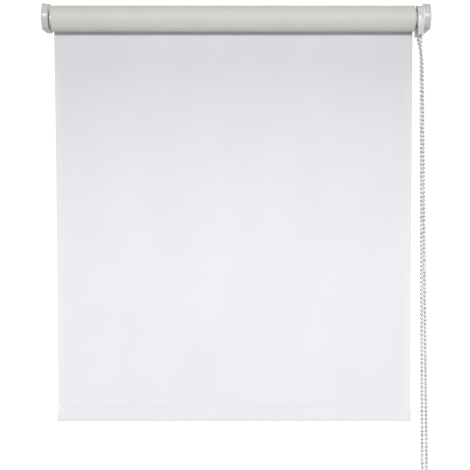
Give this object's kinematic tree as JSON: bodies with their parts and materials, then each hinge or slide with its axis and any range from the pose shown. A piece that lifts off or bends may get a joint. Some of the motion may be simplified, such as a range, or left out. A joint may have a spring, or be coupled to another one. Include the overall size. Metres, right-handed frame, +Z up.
{
  "type": "roller blind",
  "caption": "Chain-operated roller blind between wall brackets: fabric wound on a tube, a weighted hem with end caps, and a beaded control chain loop.",
  "frame": {"origin": "on the wall plane, midway between the brackets, at the middle of the four wall screw holes and level with the roller's axis", "axes": "+X along the roller towards the chain end, +Y back into the wall (the room is at -Y), +Z up; the fabric hangs along -Z"},
  "size_m": [0.5781, 0.0622, 0.785],
  "materials": {
    "shell": "satin-gloss light grey",
    "guard": "satin-gloss off-white",
    "moulding": "fine matt, white",
    "inner": "fine matt, mid grey",
    "plate": "powder coat, white",
    "steel": "bright zinc plate",
    "spring": "oiled spring wire",
    "tube": "mill finish, drawn",
    "bar": "mill finish",
    "tape": "translucent adhesive tape",
    "cloth": "fine plain weave, white front and warm grey back coating",
    "chain": "nickel plated balls, slightly dull",
    "clasp": "clear-white moulded"
  },
  "bodies": {
    "brackets": {"left_bracket": "plate", "left_cover": "shell", "right_bracket": "plate", "right_cover": "shell", "clutch_core": "moulding", "clutch_washer": "steel", "clutch_screw": "steel", "core_clip": "steel", "chain_guard": "guard", "fabric_sheet": "cloth", "bead_chain": "chain", "wrap_beads": "chain", "wrap_links": "chain", "chain_clasp": "clasp"},
    "roller": {"sprocket": "inner", "drive_hub": "moulding", "wrap_springs": "spring", "roller_tube": "tube", "bond_strip": "tape", "fabric_roll": "cloth", "idle_plug": "moulding", "pin_retainer": "inner", "pin_spring": "spring"},
    "hem": {"fabric_hem": "cloth", "hem_bar": "bar", "hem_cap_left": "shell", "hem_cap_right": "shell"},
    "idle_pin": {"idle_pin": "steel"}
  },
  "joints": [
    {"name": "roller_turn", "type": "hinge", "parent": "brackets", "child": "roller", "pos_m": [0, -0.042, 0], "axis": [1, 0, 0], "range_deg": [-2700, 1575], "deforming": ["fabric_sheet", "bead_chain", "wrap_beads", "wrap_links"]},
    {"name": "hem_lift", "type": "slide", "parent": "brackets", "child": "hem", "axis": [0, 0, 1], "range_m": [-0.90902, 0.53026], "deforming": ["fabric_sheet"]},
    {"name": "idle_pin_slide", "type": "slide", "parent": "roller", "child": "idle_pin", "axis": [1, 0, 0], "range_m": [0, 0.006], "stiffness_N_per_m": 600, "springref_m": -0.01, "deforming": ["pin_spring"]}
  ],
  "couplings": [
    {"joint": "roller_turn", "follows": "hem_lift", "rad_per_m": 51.84}
  ]
}
